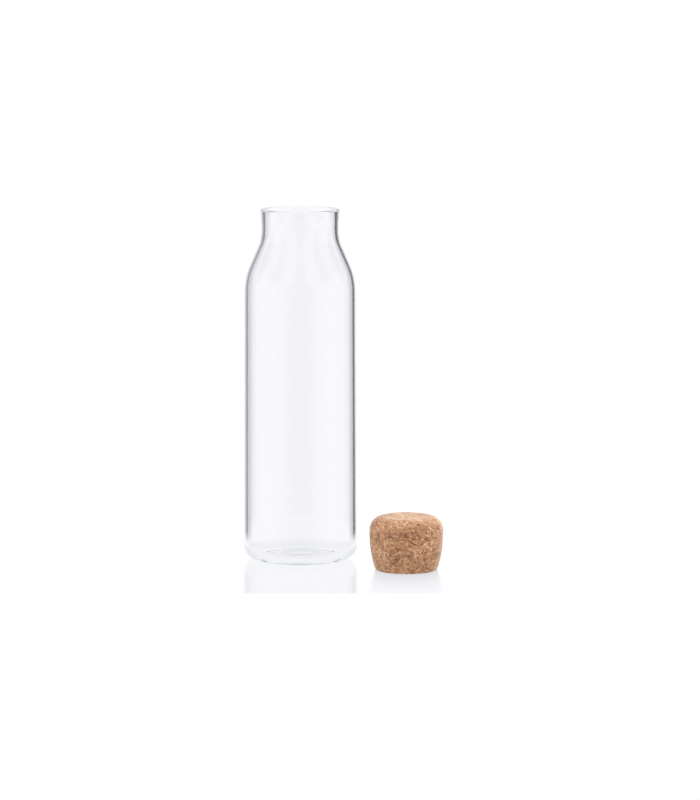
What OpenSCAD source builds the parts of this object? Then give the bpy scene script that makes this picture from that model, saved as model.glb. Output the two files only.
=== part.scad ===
// Glass water bottle with a wide neck, and the tapered cork that closes it.
// Millimetres, +Z up. The origin is the centre of the ring that the bottle stands on.

/* [Bottle body] */
// Height from the table to the top of the lip
bottle_h = 254; // [240:1:270]
// Outer diameter of the body just above its rounded foot
body_d = 82; // [80:0.5:86]
// How much narrower the body is where its shoulder begins
body_taper = 1.4; // [0:0.2:3]
// Thickness of the glass in the body, shoulder and neck corner
body_wall = 2.6; // [2.2:0.1:3.2]

/* [Foot and floor] */
// Radius of the rounded outer edge at the foot
foot_r = 10.5; // [8:0.5:12]
// Radius of the rounded corner where the inside wall meets the floor
floor_corner_r = 8; // [6:0.5:12]
// Height of the inside floor above the table, around the push-up
floor_z = 3.6; // [3.4:0.2:7]
// Width of the flat ring that touches the table
ring_w = 5.2; // [3:0.2:6]
// Depth of the hollow inside the ring
hollow_h = 0.8; // [0.6:0.2:1.2]
// Diameter of the push-up in the middle of the floor
pushup_d = 27; // [20:1:32]
// Height of the push-up above the hollow
pushup_h = 3.3; // [1.2:0.3:3.6]

/* [Shoulder and neck] */
// Angle of the shoulder's slope above the horizontal
shoulder_angle = 66; // [62:1:68]
// Radius that rounds the shoulder
shoulder_r = 48; // [36:1:50]
// Radius that eases the slope into the neck
throat_r = 30; // [20:1:32]
// Outer diameter of the neck at its waist
neck_d = 56; // [55.5:0.1:57]
// Height of the straight waist, between the throat and the lip
neck_h = 4; // [2:0.5:8]
// Diameter of the cylindrical bore in the neck
bore_d = 50; // [49:0.1:51]

/* [Lip] */
// Outer diameter of the lip
lip_d = 57.4; // [57.2:0.1:59]
// Height over which the neck swells into the lip
lip_h = 11; // [9:0.5:12]
// Radius of the lip's rounded outer edge
lip_outer_r = 1.3; // [0.8:0.1:1.5]
// Radius of the lip's rounded inner edge
lip_inner_r = 1.5; // [0.8:0.1:1.5]

/* [Cork stopper] */
// Height of the cork
cork_h = 38.5; // [36:0.5:42]
// Largest diameter of the cork
cork_d = 52.6; // [52:0.1:54]
// Height of the largest diameter above the cork's bottom
cork_belly_z = 25.6; // [24:0.2:26]
// Radius of the curve of the cork's side
cork_side_r = 79; // [70:1:95]
// Radius of the cork's rounded top edge
cork_top_r = 10; // [6:0.5:11]
// Radius of the cork's bottom edge
cork_edge_r = 0.8; // [0.4:0.1:1.6]

/* [Placement] */
// Where the cork is: standing on the table beside the bottle, or seated in the mouth
stopper_place = "table"; // [table, mouth]
// Distance from the bottle's axis to the standing cork, to the right
stopper_right = 76; // [72:1:110]
// Distance from the bottle's axis to the standing cork, towards the front
stopper_front = 46; // [30:1:80]

/* [Hidden] */
$fn = 96;
// Largest turn between two neighbouring points of a curve, in degrees
turn_step = 4;
// Gap left between the seated cork and the bore
seat_gap = 0.1;
// Share of the push-up's height by which the inside floor rises above it
floor_rise = 2 / 3;

foot_radius = body_d / 2;
top_radius = (body_d - body_taper) / 2;
neck_radius = neck_d / 2;
bore_radius = bore_d / 2;
lip_radius = lip_d / 2;
cork_radius = cork_d / 2;
slope = tan(shoulder_angle);

// Heights of the corners that the shoulder's slope would make with the neck and with the body
throat_rise = throat_r * tan((90 - shoulder_angle) / 2);
outer_throat_z = bottle_h - lip_h - neck_h - throat_rise;
shoulder_z = outer_throat_z - (top_radius - neck_radius) * slope;

// The same corners inside, where the slope lies one wall thickness further in
slope_drop = body_wall / cos(shoulder_angle);
inner_top_radius = top_radius - body_wall;
inner_shoulder_z = shoulder_z + body_wall * slope - slope_drop;
inner_throat_z = shoulder_z + (top_radius - bore_radius) * slope - slope_drop;

// Axis of the curve of the cork's side, and the height at which the cork fills the bore
cork_side_x = cork_radius - cork_side_r;
seat_reach = bore_radius - seat_gap - cork_side_x;
seat_z = cork_belly_z - sqrt(pow(cork_side_r, 2) - pow(seat_reach, 2));
seated_cork_z = bottle_h - lip_inner_r - seat_z;

function unit(v) = v / norm(v);

// Points of an arc about centre c, from angle a to angle b
function arc(c, r, a, b) =
    let(steps = max(2, ceil(abs(b - a) / turn_step)))
    [for (i = [0 : steps]) let(t = a + (b - a) * i / steps) c + r * [cos(t), sin(t)]];

// The corner at b, between the lines to a and to c, rounded to radius r
function rounded_corner(a, b, c, r) =
    let(
        u = unit(a - b),
        w = unit(c - b),
        half = acos(u * w) / 2,
        centre = b + unit(u + w) * r / sin(half),
        start = b + u * r / tan(half) - centre,
        end = b + w * r / tan(half) - centre,
        from = atan2(start.y, start.x),
        turn = (atan2(end.y, end.x) - from + 540) % 360 - 180
    )
    arc(centre, r, from, from + turn);

// A shallow dome of radius r and height h, from its crown on the axis to its edge at height z
function dome(r, h, z) =
    let(
        ball = (r * r + h * h) / (2 * h),
        reach = asin(r / ball),
        steps = 6
    )
    [for (i = [0 : steps]) let(t = reach * i / steps) [ball * sin(t), z + h - ball + ball * cos(t)]];

// A swell from point a up to point b, which starts upright and steepens
function swell(a, b) =
    let(steps = 8)
    [for (i = [0 : steps])
        let(t = i / steps)
        [a.x + (b.x - a.x) * pow(t, 1.5), a.y + (b.y - a.y) * t]];

function reversed(points) = [for (i = [len(points) - 1 : -1 : 0]) points[i]];

// Underside and outside, from the axis out and up to the top of the lip
function outside() = concat(
    dome(pushup_d / 2, pushup_h, hollow_h),
    [
        [foot_radius - foot_r - ring_w - 2 * hollow_h, hollow_h],
        [foot_radius - foot_r - ring_w, 0]
    ],
    arc([foot_radius - foot_r, foot_r], foot_r, -90, 0),
    rounded_corner(
        [foot_radius, foot_r],
        [top_radius, shoulder_z],
        [neck_radius, outer_throat_z],
        shoulder_r
    ),
    rounded_corner(
        [top_radius, shoulder_z],
        [neck_radius, outer_throat_z],
        [neck_radius, bottle_h],
        throat_r
    ),
    swell([neck_radius, bottle_h - lip_h], [lip_radius, bottle_h - lip_outer_r]),
    arc([lip_radius - lip_outer_r, bottle_h - lip_outer_r], lip_outer_r, 10, 90)
);

// Inside, from the axis out and up to the top of the lip
function inside() = concat(
    dome(pushup_d / 2 + 2, floor_rise * pushup_h, floor_z),
    rounded_corner(
        [pushup_d / 2 + 2, floor_z],
        [foot_radius - body_wall, floor_z],
        [inner_top_radius, inner_shoulder_z],
        floor_corner_r
    ),
    rounded_corner(
        [foot_radius - body_wall, floor_z],
        [inner_top_radius, inner_shoulder_z],
        [bore_radius, inner_throat_z],
        shoulder_r - body_wall
    ),
    rounded_corner(
        [inner_top_radius, inner_shoulder_z],
        [bore_radius, inner_throat_z],
        [bore_radius, bottle_h],
        throat_r + body_wall
    ),
    arc([bore_radius + lip_inner_r, bottle_h - lip_inner_r], lip_inner_r, 180, 90)
);

// Outline of the cork, from the axis out along its bottom, up its side and back over its top
function cork_outline() =
    let(
        low_z = cork_edge_r,
        low_x = cork_side_x + sqrt(pow(cork_side_r - cork_edge_r, 2) - pow(low_z - cork_belly_z, 2)),
        high_z = cork_h - cork_top_r,
        high_x = cork_side_x + sqrt(pow(cork_side_r - cork_top_r, 2) - pow(high_z - cork_belly_z, 2)),
        side_from = atan2(low_z - cork_belly_z, low_x - cork_side_x),
        side_to = atan2(high_z - cork_belly_z, high_x - cork_side_x)
    )
    concat(
        [[0, 0]],
        arc([low_x, low_z], cork_edge_r, -90, side_from),
        arc([cork_side_x, cork_belly_z], cork_side_r, side_from, side_to),
        arc([high_x, high_z], cork_top_r, side_to, 90),
        [[0, cork_h]]
    );

// The one-piece glass bottle: thick floor with a push-up, straight body, shoulder, neck and lip
module glass_bottle() {
    color([0.90, 0.92, 0.96, 0.45])
        rotate_extrude()
            polygon(concat(outside(), reversed(inside())));
}

// The solid cork that wedges in the neck
module cork_stopper() {
    place = stopper_place == "mouth"
        ? [0, 0, seated_cork_z]
        : [stopper_right, -stopper_front, 0];
    color([0.70, 0.52, 0.40])
        translate(place)
            rotate_extrude()
                polygon(cork_outline());
}

glass_bottle();
cork_stopper();
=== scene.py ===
import math

import bpy
import numpy as np
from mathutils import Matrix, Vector, kdtree, noise


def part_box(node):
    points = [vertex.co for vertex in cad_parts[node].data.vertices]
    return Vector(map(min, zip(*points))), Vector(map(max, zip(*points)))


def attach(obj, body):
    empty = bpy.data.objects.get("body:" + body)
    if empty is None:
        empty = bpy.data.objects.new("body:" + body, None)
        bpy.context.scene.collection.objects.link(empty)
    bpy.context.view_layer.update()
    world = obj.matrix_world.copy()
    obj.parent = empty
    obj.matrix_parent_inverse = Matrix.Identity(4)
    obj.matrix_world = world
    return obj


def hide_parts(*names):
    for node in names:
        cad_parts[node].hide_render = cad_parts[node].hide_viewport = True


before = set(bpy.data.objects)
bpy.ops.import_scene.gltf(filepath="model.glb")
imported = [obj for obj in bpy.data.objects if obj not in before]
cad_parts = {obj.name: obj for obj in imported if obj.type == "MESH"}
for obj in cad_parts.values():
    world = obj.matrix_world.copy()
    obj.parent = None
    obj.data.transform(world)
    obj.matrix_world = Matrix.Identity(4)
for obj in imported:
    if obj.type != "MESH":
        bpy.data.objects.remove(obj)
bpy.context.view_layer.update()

MM = 0.001
bottle_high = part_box("glass_bottle")[1]
cork_low, cork_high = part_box("cork_stopper")

# Bottle: its height and radius come from the frame
BOTTLE_H = bottle_high.z
FOOT_RADIUS = bottle_high.x
TOP_RADIUS = FOOT_RADIUS - 0.7 * MM
WALL = 2.6 * MM
FOOT_R = 10.5 * MM
FLOOR_CORNER_R = 8 * MM
FLOOR_Z = 3.6 * MM
RING_W = 5.2 * MM
HOLLOW_H = 0.8 * MM
PUSHUP_RADIUS = 13.5 * MM
PUSHUP_H = 3.3 * MM
FLOOR_DOME_RADIUS = PUSHUP_RADIUS + 2 * MM
FLOOR_DOME_H = 2.2 * MM
SHOULDER_ANGLE = math.radians(66)
SHOULDER_R = 48 * MM
THROAT_R = 30 * MM
NECK_RADIUS = 28 * MM
NECK_H = 4 * MM
BORE_RADIUS = 25 * MM
LIP_RADIUS = 28.7 * MM
LIP_H = 11 * MM
LIP_SLANT = math.radians(10)
LIP_OUTER_R = 1.3 * MM
LIP_INNER_R = 1.5 * MM

# Cork: its place, height and widest radius come from the frame
CORK_H = cork_high.z
CORK_RADIUS = (cork_high.x - cork_low.x) / 2
CORK_AXIS = ((cork_high.x + cork_low.x) / 2, (cork_high.y + cork_low.y) / 2)
CORK_BELLY_Z = 25.6 * MM
CORK_SIDE_R = 79 * MM
CORK_TOP_R = 10 * MM
CORK_EDGE_R = 0.8 * MM


# ---------------------------------------------------------------- camera

# Lens and sensor in millimetres, place in metres, and how far it looks down, in degrees
LENS = 174.84
SENSOR = 36
CAMERA_PLACE = (0.03586, -2.781, 0.475)
CAMERA_DOWN = 7.36


def make_camera():
    """A long lens a little above the lip, looking slightly down at the middle of the bottle."""
    data = bpy.data.cameras.new("camera")
    data.sensor_width = SENSOR
    data.lens = LENS
    camera = bpy.data.objects.new("camera", data)
    camera.location = CAMERA_PLACE
    camera.rotation_euler = (math.radians(90 - CAMERA_DOWN), 0, 0)
    bpy.context.scene.collection.objects.link(camera)
    bpy.context.scene.camera = camera


# ---------------------------------------------------------------- node helpers

class Nodes:
    """Short calls that add and link shader nodes in one tree."""

    def __init__(self, tree):
        tree.nodes.clear()
        self.tree = tree

    def add(self, kind, inputs=None, **settings):
        node = self.tree.nodes.new("ShaderNode" + kind)
        for name, value in settings.items():
            setattr(node, name, value)
        for name, value in (inputs or {}).items():
            self.put(node.inputs[name], value)
        return node

    def put(self, socket, value):
        if isinstance(value, bpy.types.NodeSocket):
            self.tree.links.new(value, socket)
        else:
            socket.default_value = value

    def math(self, operation, a, b=0.0, clamp=False):
        node = self.add("Math", {0: a, 1: b}, operation=operation)
        node.use_clamp = clamp
        return node.outputs[0]

    def step(self, value, low, high, to_low=0.0, to_high=1.0):
        """A smooth change from to_low to to_high, as value goes from low to high."""
        inputs = {"Value": value, "From Min": low, "From Max": high, "To Min": to_low, "To Max": to_high}
        return self.add("MapRange", inputs, interpolation_type="SMOOTHSTEP").outputs[0]

    def mix(self, share, a, b):
        """Colour a where share is 0 and colour b where it is 1."""
        node = self.add("Mix", data_type="RGBA")
        for index, value in ((0, share), (6, a), (7, b)):
            self.put(node.inputs[index], value)
        return node.outputs[2]

    def grey(self, level, blue):
        """A grey of this level, with its blue multiplied by the factor blue."""
        raised = self.math("MULTIPLY", level, blue)
        return self.add("CombineColor", {0: level, 1: level, 2: raised}).outputs[0]

    def blurred(self, path):
        """1 for the blurred rays that the satin plate mirrors, and 0 for the glass's sharp ones."""
        return self.math("SUBTRACT", path["Is Glossy Ray"], path["Is Singular Ray"], clamp=True)


def new_material(name):
    """An empty material, and the node calls that fill it."""
    material = bpy.data.materials.new(name)
    material.use_nodes = True
    return material, Nodes(material.node_tree)


# ---------------------------------------------------------------- studio

ROOM_WHITE = (1.0, 1.0, 1.0, 1)
# Seen through the glass, the white dims between these turns away from straight behind the bottle
SIDE_TURN = (10, 17)
SIDE_WHITE = (0.87, 0.87, 0.92, 1)
# Further round it rises again, so that the glass stays clear when it is seen from the side or behind
FAR_TURN = (55, 80)
FAR_WHITE = (0.95, 0.95, 0.962, 1)
# What the satin plate mirrors
PLATE_ROOM = (1.2, 1.2, 1.2, 1)
# Rays with a greater Ray Depth than this see only what lies straight behind the glass
LONG_PATH = 7.5
# Rays that rise more steeply than this see the room even straight through the glass
RISING = 0.03

# Degrees to the right of straight behind the bottle where each dark flag starts, is full, fades and
# ends, and the share of light that it takes
LEFT_FLAG = (-68, -52, -36, -10)
LEFT_DARK = 0.7
RIGHT_FLAG = (14, 29, 50, 62)
RIGHT_DARK = 0.84
# Degrees away from straight behind over which the room dims to its sides, and then to its front
SIDE_FALL = (15, 60)
SIDE_LEVEL = 0.86
FRONT_FALL = (112, 180)
FRONT_LEVEL = 0.36
ROOM_BLUE = 1.05
# The flags lie between a grey ceiling and dark posts: the height part of a ray's direction over which
# each of these gives way to the flags
CEILING_END = (0.42, 0.2)
CEILING = (0.55, 0.55, 0.57, 1)
POST_END = (-0.21, -0.18)
# How many posts stand all round, where their soft edges start and end, and how light they stay
POST_COUNT = 6
POST_EDGE = (-0.2, 0.5)
POST_LEVEL = 0.2

# Soft light on matt surfaces: where each side's light starts and is full, and how strong it is
SIDE_LIGHT_EDGE = (0.35, 0.95)
TOP_LIGHT_EDGE = (0.4, 0.95)
RIGHT_LIGHT = 2.6
LEFT_LIGHT = 1.9
TOP_LIGHT = 1.8
ROUND_LIGHT = 0.75
LIGHT_BLUE = 1.02
# How far behind the bottle's sides the side lights stand
LIGHT_BACK = 0.25


def flag(n, turn, place, dark):
    """The share of light left by a flag that starts, is full, fades and ends at the turns in place."""
    start, full, fading, end = place
    cover = n.math("MULTIPLY", n.step(turn, start, full), n.step(turn, end, fading))
    return n.math("SUBTRACT", 1, n.math("MULTIPLY", cover, dark))


def degrees_right(n, x, y):
    """How far a ray points to the right of straight behind the bottle, in degrees."""
    return n.math("MULTIPLY", n.math("ARCTAN2", x, y), 180 / math.pi)


def through_colour(n, x, y):
    """What is seen straight through the glass: white, a little dimmer and bluer beside the bottle."""
    away = n.math("ABSOLUTE", degrees_right(n, x, y))
    near = n.mix(n.step(away, *SIDE_TURN), ROOM_WHITE, SIDE_WHITE)
    return n.mix(n.step(away, *FAR_TURN), near, FAR_WHITE)


def low_room(n, turn):
    """White with dark posts all round, so that the edges of the glass show from any side."""
    wave = n.math("COSINE", n.math("MULTIPLY", turn, POST_COUNT * math.pi / 180))
    return n.grey(n.step(wave, *POST_EDGE, 1.0, POST_LEVEL), ROOM_BLUE)


def mirrored_colour(n, x, y, z):
    """What the glass mirrors: a white backdrop, a dark flag on each side of it, and a dim front."""
    turn = degrees_right(n, x, y)
    away = n.math("ABSOLUTE", turn)
    sides = n.step(away, *SIDE_FALL, 1.0, SIDE_LEVEL)
    front = n.step(away, *FRONT_FALL, 0.0, 1 - FRONT_LEVEL / SIDE_LEVEL)
    left = flag(n, turn, LEFT_FLAG, LEFT_DARK)
    right = flag(n, turn, RIGHT_FLAG, RIGHT_DARK)
    flags = n.math("MULTIPLY", left, right)
    level = n.math("MULTIPLY", n.math("MULTIPLY", sides, flags), n.math("SUBTRACT", 1, front))
    room = n.mix(n.step(z, *CEILING_END), CEILING, n.grey(level, ROOM_BLUE))
    return n.mix(n.step(z, *POST_END), low_room(n, turn), room)


def soft_light(n, x, y, z):
    """Light on whatever isn't glossy: strongest from the right, then from the left and the top."""
    back = n.math("MULTIPLY", y, LIGHT_BACK)
    right = n.step(n.math("ADD", x, back), *SIDE_LIGHT_EDGE, 0.0, RIGHT_LIGHT)
    left = n.step(n.math("SUBTRACT", back, x), *SIDE_LIGHT_EDGE, 0.0, LEFT_LIGHT)
    top = n.step(z, *TOP_LIGHT_EDGE, 0.0, TOP_LIGHT)
    total = n.math("ADD", n.math("ADD", right, left), n.math("ADD", top, ROUND_LIGHT))
    return n.grey(total, LIGHT_BLUE)


def make_world():
    """White to the camera, soft light on matt surfaces, and flags, posts and a ceiling for the glass.

    A ray that has met the glass an even number of times has passed through it, and sees what lies
    straight behind. One that has met it an odd number of times was mirrored, and sees the studio.
    """
    world = bpy.data.worlds.new("studio")
    world.use_nodes = True
    world.cycles.sampling_method = "NONE"
    bpy.context.scene.world = world
    n = Nodes(world.node_tree)
    direction = n.add("TexCoord").outputs["Generated"]
    axes = n.add("SeparateXYZ", {0: direction}).outputs
    x, y, z = axes[0], axes[1], axes[2]
    path = n.add("LightPath").outputs
    # For the world, Ray Depth is one more than the number of surfaces that the ray has met
    mirrors = n.math("MODULO", n.math("ADD", path["Ray Depth"], 1), 2)
    rising = n.math("GREATER_THAN", z, RISING)
    short = n.math("LESS_THAN", path["Ray Depth"], LONG_PATH)
    room = n.math("MULTIPLY", n.math("MAXIMUM", mirrors, rising), short)
    seen = n.mix(room, through_colour(n, x, y), mirrored_colour(n, x, y, z))
    seen = n.mix(n.blurred(path), seen, PLATE_ROOM)
    seen = n.mix(path["Is Diffuse Ray"], seen, soft_light(n, x, y, z))
    seen = n.mix(path["Is Camera Ray"], seen, ROOM_WHITE)
    background = n.add("Background", {"Color": seen, "Strength": 1.0})
    n.add("OutputWorld", {"Surface": background.outputs[0]})


FLOOR_RADIUS = 40
FLOOR_SIDES = 96
# The satin plate under the objects is square, and lies on white paper that mirrors nothing. Its skin
# is part satin, part gloss, and shows more of itself the lower it is seen
PLATE_EDGE = (0.138, 0.15)
PLATE_WHITE = (0.998, 1.0, 1.015, 1)
PLATE_SATIN = (0.665, 0.678, 0.749, 1)
PLATE_GLOSS = 0.648
PLATE_ROUGHNESS = 0.14
PLATE_IOR = 1.5
PAPER = (1.02, 1.02, 1.02, 1)
# Rays from the glass see the plate with a painted shade under the bottle, a dimmer glowing grey. The shade
# fades over the first distances from the bottle's axis, and over the last ones the plate lets those rays
# pass, into the room
PLATE_SHADE_UNDER_BOTTLE = (0.93, 0.93, 0.945, 1)
PLATE_SHADE_FADE = (0.045, 0.08)
PLATE_PASSED = (0.085, 0.16)


def floor_material():
    """A white satin plate on white paper. Rays that come from the glass see a painted shade on it under the
    bottle, and pass it far from the bottle.
    """
    material, n = new_material("floor")
    white = n.add("Emission", {"Color": PLATE_WHITE})
    satin = n.add("Emission", {"Color": PLATE_SATIN})
    gloss = n.add("BsdfAnisotropic", {"Color": ROOM_WHITE, "Roughness": PLATE_ROUGHNESS})
    skin = n.add("MixShader", {0: PLATE_GLOSS, 1: satin.outputs[0], 2: gloss.outputs[0]})
    share = n.add("Fresnel", {"IOR": PLATE_IOR})
    plate = n.add("MixShader", {0: share.outputs[0], 1: white.outputs[0], 2: skin.outputs[0]})
    place = n.add("NewGeometry").outputs["Position"]
    distance = n.add("VectorMath", {0: place}, operation="LENGTH").outputs["Value"]
    spot = n.add("SeparateXYZ", {0: place}).outputs
    reach = n.math("MAXIMUM", n.math("ABSOLUTE", spot[0]), n.math("ABSOLUTE", spot[1]))
    paper = n.add("Emission", {"Color": PAPER})
    edge = n.step(reach, *PLATE_EDGE)
    table = n.add("MixShader", {0: edge, 1: plate.outputs[0], 2: paper.outputs[0]})
    # Painted shade: rays from the glass see a dimmer glowing grey under the bottle, which fades to white
    # further out
    shaded_plate = n.add("Emission", {"Color": n.mix(n.step(distance, *PLATE_SHADE_FADE), PLATE_SHADE_UNDER_BOTTLE, ROOM_WHITE)})
    clear = n.add("BsdfTransparent")
    passed = n.step(distance, *PLATE_PASSED)
    through = n.add("MixShader", {0: passed, 1: shaded_plate.outputs[0], 2: clear.outputs[0]})
    path = n.add("LightPath").outputs
    from_glass = n.math("MAXIMUM", path["Is Glossy Ray"], path["Is Transmission Ray"])
    shader = n.add("MixShader", {0: from_glass, 1: table.outputs[0], 2: through.outputs[0]})
    n.add("OutputMaterial", {"Surface": shader.outputs[0]})
    return material


def make_floor():
    """One large flat face at table height."""
    angles = [math.tau * i / FLOOR_SIDES for i in range(FLOOR_SIDES)]
    corners = [(FLOOR_RADIUS * math.cos(a), FLOOR_RADIUS * math.sin(a), 0) for a in angles]
    mesh = bpy.data.meshes.new("floor")
    mesh.from_pydata(corners, [], [list(range(FLOOR_SIDES))])
    mesh.materials.append(floor_material())
    floor = bpy.data.objects.new("floor", mesh)
    bpy.context.scene.collection.objects.link(floor)


BOUNCES = 160


def allow_long_paths(cycles):
    """Light runs a long way along the thick foot of the glass before it leaves it."""
    cycles.max_bounces = BOUNCES
    cycles.glossy_bounces = BOUNCES
    cycles.transmission_bounces = BOUNCES


# ---------------------------------------------------------------- outlines

TURN_STEP = math.radians(0.5)
DOME_STEPS = 40
SWELL_STEPS = 80
# Even spacing of the points of an outline, and how often its creases are eased
SPACING = 0.1 * MM
EASINGS = 12
# Then the bottle keeps one point for each of these lengths and turns
LONGEST_STEP = 6 * MM
SHARPEST_TURN = math.radians(3.6)


def arc(centre, radius, start, end):
    """Points of an arc from one angle to another."""
    steps = max(2, math.ceil(abs(end - start) / TURN_STEP))
    turns = [start + (end - start) * i / steps for i in range(steps + 1)]
    return [(centre[0] + radius * math.cos(t), centre[1] + radius * math.sin(t)) for t in turns]


def rounded_corner(a, b, c, radius):
    """The corner at b, between the lines to a and to c, rounded to the radius."""
    a, b, c = Vector(a), Vector(b), Vector(c)
    u, w = (a - b).normalized(), (c - b).normalized()
    half = u.angle(w) / 2
    centre = b + (u + w).normalized() * radius / math.sin(half)
    start = b + u * radius / math.tan(half) - centre
    end = b + w * radius / math.tan(half) - centre
    first = math.atan2(start.y, start.x)
    turn = (math.atan2(end.y, end.x) - first + 3 * math.pi) % math.tau - math.pi
    return arc(centre, radius, first, first + turn)


def dome(radius, height, z):
    """A shallow dome, from its crown on the axis to its edge at height z."""
    ball = (radius * radius + height * height) / (2 * height)
    reach = math.asin(radius / ball)
    top = z + height - ball
    turns = [reach * i / DOME_STEPS for i in range(DOME_STEPS + 1)]
    return [(ball * math.sin(t), top + ball * math.cos(t)) for t in turns]


def swell(a, b):
    """A swell from a up to b, which starts upright and steepens."""
    steps = [i / SWELL_STEPS for i in range(SWELL_STEPS + 1)]
    return [(a[0] + (b[0] - a[0]) * t ** 1.5, a[1] + (b[1] - a[1]) * t) for t in steps]


# ---------------------------------------------------------------- bottle

def bottle_corners():
    """Corners that the shoulder's slope makes with body and neck: outside and inside, low and high."""
    slope = math.tan(SHOULDER_ANGLE)
    rise = THROAT_R * math.tan((math.pi / 2 - SHOULDER_ANGLE) / 2)
    throat_z = BOTTLE_H - LIP_H - NECK_H - rise
    shoulder_z = throat_z - (TOP_RADIUS - NECK_RADIUS) * slope
    drop = WALL / math.cos(SHOULDER_ANGLE)
    inner_shoulder_z = shoulder_z + WALL * slope - drop
    inner_throat_z = shoulder_z + (TOP_RADIUS - BORE_RADIUS) * slope - drop
    outer = ((TOP_RADIUS, shoulder_z), (NECK_RADIUS, throat_z))
    inner = ((TOP_RADIUS - WALL, inner_shoulder_z), (BORE_RADIUS, inner_throat_z))
    return outer, inner


def bottle_outside():
    """Underside and outside, from the axis out and up to the top of the lip."""
    shoulder, throat = bottle_corners()[0]
    foot = FOOT_RADIUS - FOOT_R
    lip_edge = BOTTLE_H - LIP_OUTER_R
    return (
        dome(PUSHUP_RADIUS, PUSHUP_H, HOLLOW_H)
        + [(foot - RING_W - 2 * HOLLOW_H, HOLLOW_H), (foot - RING_W, 0)]
        + arc((foot, FOOT_R), FOOT_R, -math.pi / 2, 0)
        + rounded_corner((FOOT_RADIUS, FOOT_R), shoulder, throat, SHOULDER_R)
        + rounded_corner(shoulder, throat, (NECK_RADIUS, BOTTLE_H), THROAT_R)
        + swell((NECK_RADIUS, BOTTLE_H - LIP_H), (LIP_RADIUS, lip_edge))
        + arc((LIP_RADIUS - LIP_OUTER_R, lip_edge), LIP_OUTER_R, LIP_SLANT, math.pi / 2)
    )


def bottle_inside():
    """Inside, from the axis out and up to the top of the lip."""
    shoulder, throat = bottle_corners()[1]
    floor_rim = (FLOOR_DOME_RADIUS, FLOOR_Z)
    corner = (FOOT_RADIUS - WALL, FLOOR_Z)
    lip_edge = (BORE_RADIUS + LIP_INNER_R, BOTTLE_H - LIP_INNER_R)
    return (
        dome(FLOOR_DOME_RADIUS, FLOOR_DOME_H, FLOOR_Z)
        + rounded_corner(floor_rim, corner, shoulder, FLOOR_CORNER_R)
        + rounded_corner(corner, shoulder, throat, SHOULDER_R - WALL)
        + rounded_corner(shoulder, throat, (BORE_RADIUS, BOTTLE_H), THROAT_R + WALL)
        + arc(lip_edge, LIP_INNER_R, math.pi, math.pi / 2)
    )


def softened(outline, spacing, passes):
    """The outline at even spacing, with its creases eased by averaging neighbours."""
    points = np.array(outline)
    run = np.concatenate([[0], np.cumsum(np.hypot(*np.diff(points, axis=0).T))])
    even = np.linspace(0, run[-1], int(run[-1] / spacing) + 1)
    line = np.stack([np.interp(even, run, points[:, 0]), np.interp(even, run, points[:, 1])], axis=1)
    for _ in range(passes):
        line[1:-1] = (line[:-2] + 2 * line[1:-1] + line[2:]) / 4
    return line


def thinned(line, longest, turn):
    """Points of the line, close together where it bends and up to the longest step apart elsewhere."""
    steps = np.diff(line, axis=0)
    lengths = np.hypot(*steps.T)
    heading = np.unwrap(np.arctan2(steps[:, 1], steps[:, 0]))
    bends = np.concatenate([[0], np.abs(np.diff(heading))])
    weight = np.concatenate([[0], np.cumsum(lengths / longest + bends / turn)])
    wanted = np.linspace(0, weight[-1], int(weight[-1]) + 2)
    return np.stack([np.interp(wanted, weight, line[:, 0]), np.interp(wanted, weight, line[:, 1])], axis=1)


def revolved(line, sides):
    """Vertices and quads of a closed outline turned about the axis; both ends lie on the axis."""
    turns = np.arange(sides) * math.tau / sides
    rings = line[1:-1]
    around = np.stack([np.cos(turns), np.sin(turns)], axis=1)
    flat = rings[:, 0, None, None] * around[None]
    high = np.broadcast_to(rings[:, 1, None, None], flat.shape[:2] + (1,))
    body = np.concatenate([flat, high], axis=2).reshape(-1, 3)
    vertices = np.concatenate([body, [[0, 0, line[0, 1]]], [[0, 0, line[-1, 1]]]])
    count = len(rings)
    first, last = len(body), len(body) + 1
    faces = []
    for i in range(sides):
        j = (i + 1) % sides
        faces.append((first, j, i))
        faces.append((last, (count - 1) * sides + i, (count - 1) * sides + j))
        for k in range(count - 1):
            low, high = k * sides, (k + 1) * sides
            faces.append((low + i, low + j, high + j, high + i))
    return vertices, faces


def new_piece(name, vertices, faces, material):
    """A smooth-shaded object of one mesh and one material."""
    mesh = bpy.data.meshes.new(name)
    mesh.from_pydata([tuple(v) for v in vertices], [], faces)
    mesh.validate()
    mesh.polygons.foreach_set("use_smooth", [True] * len(mesh.polygons))
    mesh.materials.append(material)
    piece = bpy.data.objects.new(name, mesh)
    bpy.context.scene.collection.objects.link(piece)
    return piece


# Ribs of the underside: how many and how deep, the radii they run between, and how they fade there
RIB_COUNT = 96
RIB_DEPTH = 0.5 * MM
RIB_FROM = 14 * MM
RIB_TO = 22.5 * MM
RIB_FADE = 1.5 * MM
BOTTLE_SIDES = 4 * RIB_COUNT
# Waviness of the inner face: the noise's scales per metre, the finer one's share, and the amount
WANDER_SCALE = 20
RIPPLE_SCALE = 50
RIPPLE_SHARE = 0.3
WANDER = 0.0004


def add_ribs(vertices):
    """Fine radial ribs on the underside, between the push-up and the standing ring."""
    radius = np.hypot(vertices[:, 0], vertices[:, 1])
    under = vertices[:, 2] < FLOOR_Z / 2
    share = np.clip(np.minimum(radius - RIB_FROM, RIB_TO - radius) / RIB_FADE, 0, 1)
    wave = np.cos(RIB_COUNT * np.arctan2(vertices[:, 1], vertices[:, 0]))
    vertices[:, 2] += under * share * RIB_DEPTH * (wave + 1) / 2


def add_waviness(vertices, inner_from):
    """The inner face of moulded glass isn't perfectly round: it wanders by up to 0.02 mm."""
    for v in vertices[inner_from:]:
        if v[2] > 2 * FLOOR_Z:
            spot = Vector(v)
            wander = noise.noise(spot * WANDER_SCALE) + RIPPLE_SHARE * noise.noise(spot * RIPPLE_SCALE)
            v[:2] *= 1 + WANDER * wander


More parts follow.
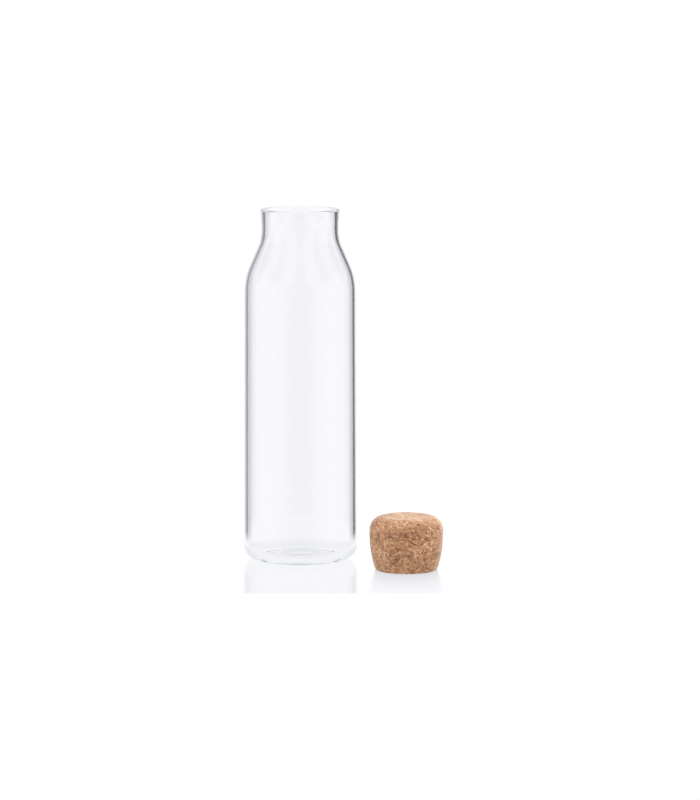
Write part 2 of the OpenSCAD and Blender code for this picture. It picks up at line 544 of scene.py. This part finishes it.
def glass_material():
    """Clear glass: polished, faintly rippled by the mould, and olive where it is thick."""
    material, n = new_material("clear_glass")
    place = n.add("TexCoord").outputs["Object"]
    ripple = n.add("TexNoise", {"Vector": place, "Scale": 45.0, "Detail": 1.0}).outputs[0]
    bump = n.add("Bump", {"Height": ripple, "Strength": 0.05, "Distance": 0.0004})
    glass = n.add("BsdfPrincipled", {
        "Base Color": (0.986, 0.986, 1.0, 1),
        "Roughness": 0.0,
        "IOR": 1.5,
        "Transmission Weight": 1.0,
        "Normal": bump.outputs[0],
    })
    tint = n.add("VolumeAbsorption", {"Color": (0.87, 0.905, 0.88, 1), "Density": 14.0})
    n.add("OutputMaterial", {"Surface": glass.outputs[0], "Volume": tint.outputs[0]})
    return material


def make_bottle():
    """One closed shell of glass, turned from its outside and inside lines."""
    outside, inside = [
        thinned(softened(outline, SPACING, EASINGS), LONGEST_STEP, SHARPEST_TURN)
        for outline in (bottle_outside(), bottle_inside())
    ]
    line = np.concatenate([outside, inside[::-1][1:]])
    vertices, faces = revolved(line, BOTTLE_SIDES)
    add_ribs(vertices)
    add_waviness(vertices, (len(outside) - 1) * BOTTLE_SIDES)
    bottle = new_piece("glass_bottle_shell", vertices, faces, glass_material())
    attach(bottle, "bottle")
    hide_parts("glass_bottle")


# ---------------------------------------------------------------- cork

def cork_outline():
    """From the centre of the bottom, out along it, up the side and back over the top to the axis."""
    side_x = CORK_RADIUS - CORK_SIDE_R
    high_z = CORK_H - CORK_TOP_R
    low_x = side_x + math.sqrt((CORK_SIDE_R - CORK_EDGE_R) ** 2 - (CORK_EDGE_R - CORK_BELLY_Z) ** 2)
    high_x = side_x + math.sqrt((CORK_SIDE_R - CORK_TOP_R) ** 2 - (high_z - CORK_BELLY_Z) ** 2)
    side_from = math.atan2(CORK_EDGE_R - CORK_BELLY_Z, low_x - side_x)
    side_to = math.atan2(high_z - CORK_BELLY_Z, high_x - side_x)
    return (
        [(0, 0)]
        + arc((low_x, CORK_EDGE_R), CORK_EDGE_R, -math.pi / 2, side_from)
        + arc((side_x, CORK_BELLY_Z), CORK_SIDE_R, side_from, side_to)
        + arc((high_x, high_z), CORK_TOP_R, side_to, math.pi / 2)
        + [(0, CORK_H)]
    )


def cube_sphere(cells):
    """Unit directions and quads of a sphere: each face of a cube, cells by cells, blown up to it."""
    ticks = np.tan(np.linspace(-math.pi / 4, math.pi / 4, cells + 1))
    index = {}
    directions, faces = [], []

    def corner(a, b, c):
        key = (a, b, c)
        if key not in index:
            index[key] = len(directions)
            directions.append((ticks[a], ticks[b], ticks[c]))
        return index[key]

    for axis in range(3):
        for side in (0, cells):
            for i in range(cells):
                for j in range(cells):
                    square = [(i, j), (i + 1, j), (i + 1, j + 1), (i, j + 1)]
                    if side == 0:
                        square.reverse()
                    spots = [np.roll((side, u, v), axis) for u, v in square]
                    faces.append([corner(*(int(s) for s in spot)) for spot in spots])
    directions = np.array(directions)
    return directions / np.linalg.norm(directions, axis=1)[:, None], faces


def cork_surface(directions):
    """Points where lines from the cork's middle, in those directions, meet its turned outline."""
    middle = CORK_H / 2
    line = softened(cork_outline(), SPACING, 0)
    angles = np.arctan2(line[:, 1] - middle, line[:, 0])
    reach = np.hypot(line[:, 0], line[:, 1] - middle)
    tilt = np.arcsin(np.clip(directions[:, 2], -1, 1))
    points = directions * np.interp(tilt, angles, reach)[:, None]
    return points + np.array([0, 0, middle])


SEED = 11
CORK_CELLS = 124
# Size of the granules, and their flatness: they lie flat, as pressing leaves them
GRAIN = 1.9 * MM
FLAT = np.array([1, 1, 0.62])
# Seams sink between the granules, and each granule sinks by its own amount
GROOVE_W = 0.28 * MM
GROOVE_DEPTH = 0.1 * MM
GRAIN_DEPTH = 0.06 * MM
# Mean and spread of the granules' tones, from dark at 0 to pale at 1
TONES = (0.5, 0.14)
# Noise that bends the seams: its scale per metre, and how far it shifts them, in millimetres
COARSE_BEND = (420, 0.45)
FINE_BEND = (1500, 0.2)
# Holes: how many, their least radius and its spread in millimetres, how flat they may be, how deep
PIT_COUNT = 620
PIT_LEAST = 0.2
PIT_SPREAD = 0.5
PIT_FLATTEST = 0.55
PIT_DEPTH = 0.55 * MM
# One larger hole, high on the left
SLIT_TURN = math.radians(199)
SLIT_Z = 25.3 * MM
SLIT_AT = Vector((CORK_RADIUS * math.cos(SLIT_TURN), CORK_RADIUS * math.sin(SLIT_TURN), SLIT_Z))
SLIT_R = 1.8 * MM
SLIT_SQUEEZE = Vector((1, 0.7, 0.75))


def grain_seeds(rng):
    """Centres of the cork granules: a jittered grid through the whole stopper."""
    reach = int(CORK_RADIUS / GRAIN) + 2
    levels = int(CORK_H / (GRAIN * FLAT[2])) + 3
    across = range(-reach, reach + 1)
    grid = [(i, j, k) for i in across for j in across for k in range(-1, levels)]
    return (np.array(grid) + rng.uniform(-0.5, 0.5, (len(grid), 3))) * GRAIN * FLAT


def bend(spot, scale, shift):
    """The shift of the seams at a spot, by smooth noise."""
    return noise.noise_vector(spot * scale) * shift * MM


def grain_fields(points, rng):
    """Each point's granule number and nearness to the granule's edge, from 0 to 1, and the count."""
    seeds = grain_seeds(rng)
    tree = kdtree.KDTree(len(seeds))
    for i, seed in enumerate(seeds):
        tree.insert(seed / FLAT, i)
    tree.balance()
    number = np.zeros(len(points), int)
    edge = np.zeros(len(points))
    for i, point in enumerate(points):
        spot = Vector(point)
        bent = np.array(spot + bend(spot, *COARSE_BEND) + bend(spot, *FINE_BEND))
        (_, nearest, d1), (_, _, d2) = tree.find_n(bent / FLAT, 2)
        number[i] = nearest
        edge[i] = max(0.0, 1 - (d2 - d1) / GROOVE_W)
    return number, edge, len(seeds)


def pit_field(points, rng):
    """Depth, from 0 to 1, of the small dark holes that lie scattered over cork."""
    tree = kdtree.KDTree(len(points))
    for i, point in enumerate(points):
        tree.insert(point, i)
    tree.balance()
    depth = np.zeros(len(points))
    for k in range(PIT_COUNT):
        centre = Vector(points[rng.integers(len(points))])
        radius = MM * (PIT_LEAST + PIT_SPREAD * rng.random() ** 3)
        squeeze = Vector(rng.uniform(PIT_FLATTEST, 1.0, 3))
        if k == 0:
            centre, radius, squeeze = SLIT_AT, SLIT_R, SLIT_SQUEEZE
        for spot, i, _ in tree.find_range(centre, radius / PIT_FLATTEST):
            away = spot - centre
            away = Vector((away.x / squeeze.x, away.y / squeeze.y, away.z / squeeze.z)).length
            depth[i] = max(depth[i], 1 - (away / radius) ** 2)
    return np.clip(depth, 0, 1)


def outward(points, faces):
    """Unit normals of the points of a closed surface."""
    quads = points[np.array(faces)]
    across = np.cross(quads[:, 2] - quads[:, 0], quads[:, 3] - quads[:, 1])
    normals = np.zeros_like(points)
    for corner in range(4):
        np.add.at(normals, np.array(faces)[:, corner], across)
    return normals / np.linalg.norm(normals, axis=1)[:, None]


# Painted reflection of the cork in the satin plate: a glowing grey, dark at the foot and white from this
# height up, where the plate no longer shows the cork, and how it fades up to there
PAINTED_REFLECTION_TOP = 13 * MM
PAINTED_REFLECTION_CURVE = 0.6
PAINTED_REFLECTION_BLUE = 1.03
# Browns of the granules from dark to pale, and of the marks on them
BROWNS = (
    (0.0, (0.1, 0.036, 0.014, 1)),
    (0.3, (0.3, 0.134, 0.06, 1)),
    (0.6, (0.44, 0.23, 0.112, 1)),
    (1.0, (0.67, 0.44, 0.255, 1)),
)
FLECK_BROWN = (0.12, 0.045, 0.022, 1)
SPECK_BROWN = (0.13, 0.045, 0.022, 1)
SEAM_BROWN = (0.14, 0.055, 0.028, 1)
# The holes' colour: the cork's own dark brown, with painted shade inside the holes
PIT_BROWN_AND_SHADE = (0.07, 0.026, 0.014, 1)


def hidden_in_glass_painted_in_plate(n, surface):
    """The surface, except in mirrors: the bottle doesn't mirror it, and the satin plate shows a painted
    reflection of its foot, a glowing grey that turns white with height.
    """
    path = n.add("LightPath").outputs
    odd = n.math("MODULO", path["Ray Depth"], 2)
    mirrored = n.math("MULTIPLY", odd, path["Is Singular Ray"])
    clear = n.add("BsdfTransparent")
    seen = n.add("MixShader", {0: mirrored, 1: surface, 2: clear.outputs[0]})
    # Painted reflection: for the satin plate's blurred rays the cork is replaced by a glowing grey that
    # brightens with height
    height = n.add("SeparateXYZ", {0: n.add("NewGeometry").outputs["Position"]}).outputs[2]
    fade = n.math("POWER", n.math("DIVIDE", height, PAINTED_REFLECTION_TOP, clamp=True), PAINTED_REFLECTION_CURVE)
    painted_reflection = n.add("Emission", {"Color": n.grey(fade, PAINTED_REFLECTION_BLUE)})
    return n.add("MixShader", {0: n.blurred(path), 1: seen.outputs[0], 2: painted_reflection.outputs[0]}).outputs[0]


def varied(n, shade, pattern, amount):
    """The shade with a pattern added that varies about one half."""
    return n.math("ADD", shade, n.math("MULTIPLY", n.math("SUBTRACT", pattern, 0.5), amount))


def brown(n, shade):
    """The ramp of browns, from dark at shade 0 to pale at 1."""
    ramp = n.add("ValToRGB", {"Fac": shade})
    elements = ramp.color_ramp.elements
    for position, _ in BROWNS[1:-1]:
        elements.new(position)
    for element, (position, colour) in zip(elements, BROWNS):
        element.position = position
        element.color = colour
    return ramp.outputs[0]


def dots(n, place, scale, channel, low, high):
    """Small scattered cells: 1 inside the few whose random value is high, and 0 in the others."""
    cells = n.add("TexVoronoi", {"Vector": place, "Scale": scale}).outputs["Color"]
    return n.step(n.add("SeparateColor", {0: cells}).outputs[channel], low, high)


def marked(n, colour, where, strength, mark):
    """The colour with a mark laid over it."""
    return n.mix(n.math("MULTIPLY", where, strength), colour, mark)


def cork_material():
    """Pressed cork: granules of several browns, dark seams, dark holes that also carry painted shade, and a
    fine dusty grain.
    """
    material, n = new_material("cork")
    place = n.add("TexCoord").outputs["Object"]
    tone = n.add("Attribute", attribute_name="tone").outputs["Fac"]
    seam = n.add("Attribute", attribute_name="seam").outputs["Fac"]
    pit = n.add("Attribute", attribute_name="pit").outputs["Fac"]
    grain = n.add("TexNoise", {"Vector": place, "Scale": 900.0, "Detail": 5.0, "Roughness": 0.65}).outputs[0]
    patch = n.add("TexNoise", {"Vector": place, "Scale": 420.0, "Detail": 3.0, "Distortion": 0.6}).outputs[0]
    cloud = n.add("TexNoise", {"Vector": place, "Scale": 75.0, "Detail": 2.0}).outputs[0]
    shade = varied(n, varied(n, varied(n, tone, patch, 0.7), cloud, 0.85), grain, 0.9)
    colour = marked(n, brown(n, shade), dots(n, place, 620.0, 0, 0.9, 0.96), 0.55, FLECK_BROWN)
    colour = marked(n, colour, dots(n, place, 1150.0, 1, 0.86, 0.93), 0.5, SPECK_BROWN)
    colour = marked(n, colour, seam, 0.35, SEAM_BROWN)
    # Holes darken most at their middle: partly the cork's own dark pores, partly painted shade inside them
    colour = marked(n, colour, pit, 0.85, PIT_BROWN_AND_SHADE)
    bump = n.add("Bump", {"Height": grain, "Strength": 0.5, "Distance": 0.0003})
    rough = n.step(grain, 0.3, 0.7, 0.55, 0.8)
    cork = n.add("BsdfPrincipled", {
        "Base Color": colour,
        "Roughness": rough,
        "IOR": 1.45,
        "Sheen Weight": 0.45,
        "Sheen Roughness": 0.4,
        "Sheen Tint": (1.0, 0.9, 0.74, 1),
        "Normal": bump.outputs[0],
    })
    n.add("OutputMaterial", {"Surface": hidden_in_glass_painted_in_plate(n, cork.outputs[0])})
    return material


def set_field(mesh, name, values):
    """One number for each vertex, which the material reads by its name."""
    field = mesh.attributes.new(name, "FLOAT", "POINT")
    field.data.foreach_set("value", np.asarray(values, np.float32))


def make_cork():
    """The turned cork, with its granules, seams and holes sunk into the surface."""
    rng = np.random.default_rng(SEED)
    noise.seed_set(SEED)
    directions, faces = cube_sphere(CORK_CELLS)
    points = cork_surface(directions)
    number, seam, count = grain_fields(points, rng)
    pit = pit_field(points, rng)
    tones = np.clip(rng.normal(*TONES, count), 0, 1)
    heights = rng.random(count)
    drop = GROOVE_DEPTH * seam + GRAIN_DEPTH * heights[number] + PIT_DEPTH * pit
    points = points - outward(points, faces) * drop[:, None]
    points += np.array([*CORK_AXIS, 0])
    cork = new_piece("cork_stopper_body", points, faces, cork_material())
    set_field(cork.data, "tone", tones[number])
    set_field(cork.data, "seam", seam)
    set_field(cork.data, "pit", pit)
    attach(cork, "stopper")
    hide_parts("cork_stopper")


make_camera()
make_world()
make_floor()
make_bottle()
make_cork()
bpy.context.scene.view_settings.view_transform = "Standard"
allow_long_paths(bpy.context.scene.cycles)
